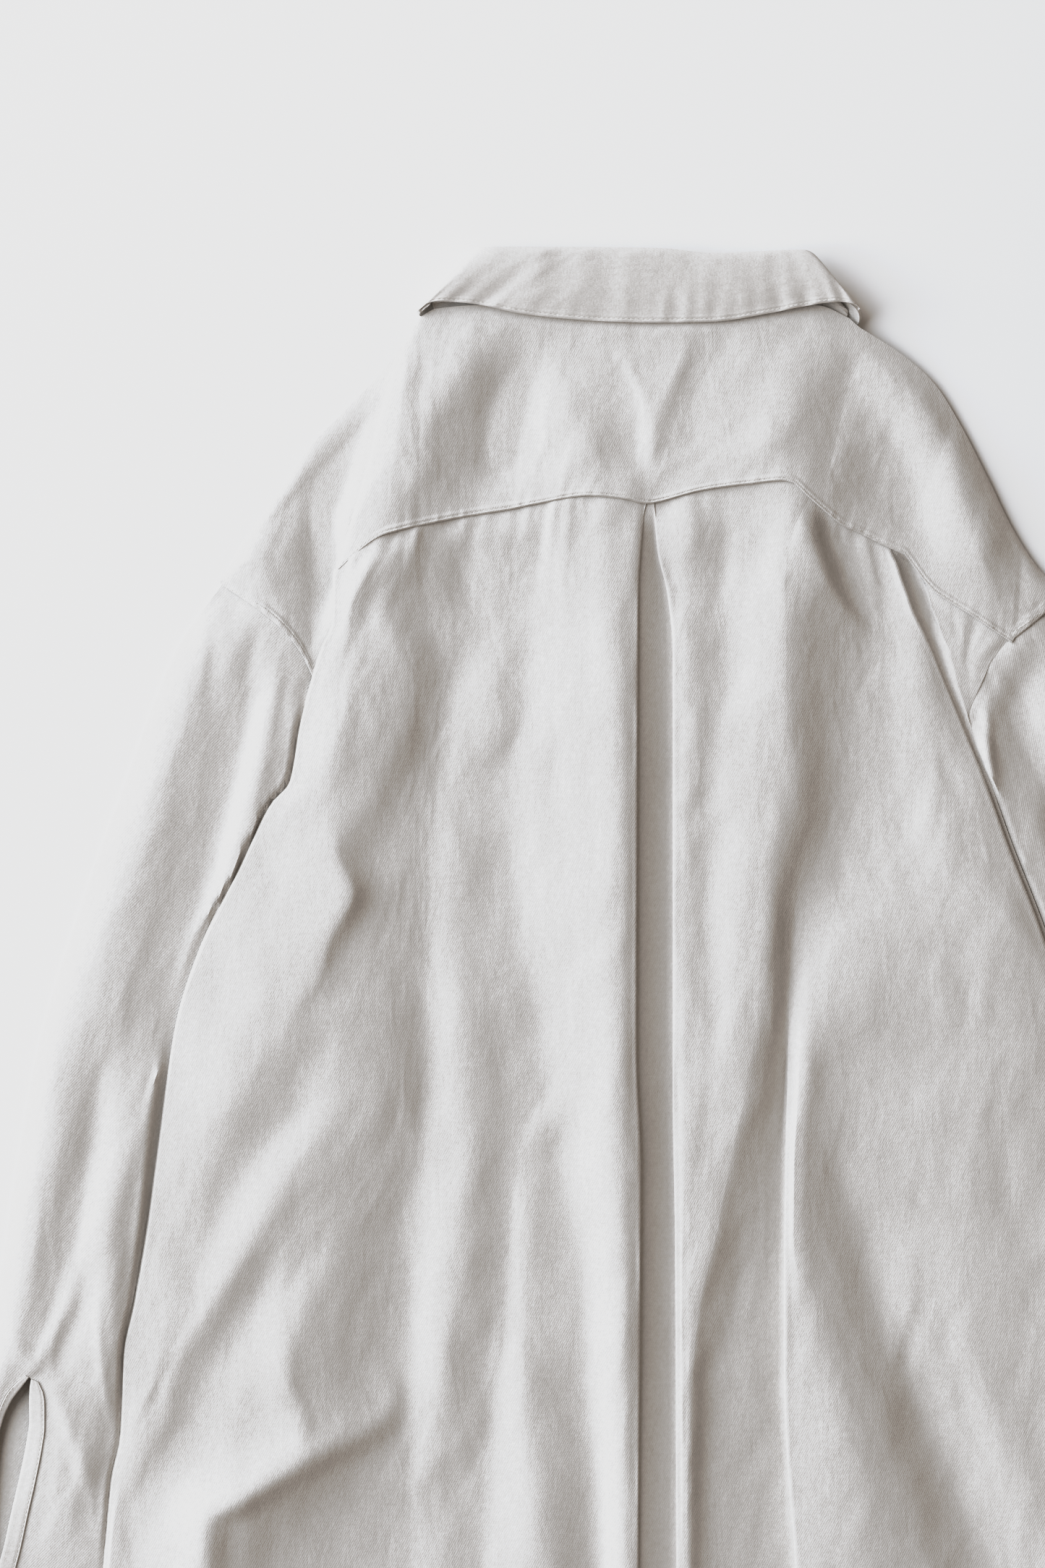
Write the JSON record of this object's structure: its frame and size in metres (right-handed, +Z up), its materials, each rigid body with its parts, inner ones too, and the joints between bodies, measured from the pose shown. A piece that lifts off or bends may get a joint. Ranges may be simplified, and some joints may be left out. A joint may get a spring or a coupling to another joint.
{
  "type": "crumpled cotton twill shirt laid face down",
  "caption": "Oversized long-sleeved cotton twill shirt lying face down, back up, with a folded collar, yoke, centre back box pleat, crumpled folds, slit sleeves, cuffs and buttons.",
  "frame": {"origin": "on the surface the shirt lies on, under the centre back, on the front band's flat underside", "axes": "+X towards the wearer's right sleeve, +Y up to the collar, +Z up from the surface, out of the back"},
  "size_m": [0.7942, 0.828, 0.027],
  "materials": {
    "twill": "washed matte twill",
    "twill_doubled": "washed matte twill, folded and stitched",
    "button": "satin shell"
  },
  "bodies": {
    "root": {"back": "twill", "yoke": "twill", "collar_fall": "twill_doubled", "collar_stand": "twill_doubled", "front_left": "twill", "front_right": "twill", "front_band": "twill_doubled", "sleeve_left": "twill", "sleeve_right": "twill", "placket_left": "twill_doubled", "placket_left_facing": "twill_doubled", "placket_right": "twill_doubled", "placket_right_facing": "twill_doubled", "cuff_left": "twill_doubled", "cuff_right": "twill_doubled", "collar_button": "button", "cuff_left_button": "button", "cuff_right_button": "button", "front_button_1": "button", "front_button_2": "button", "front_button_3": "button", "front_button_4": "button", "front_button_5": "button", "front_button_6": "button", "front_button_7": "button"}
  },
  "joints": []
}
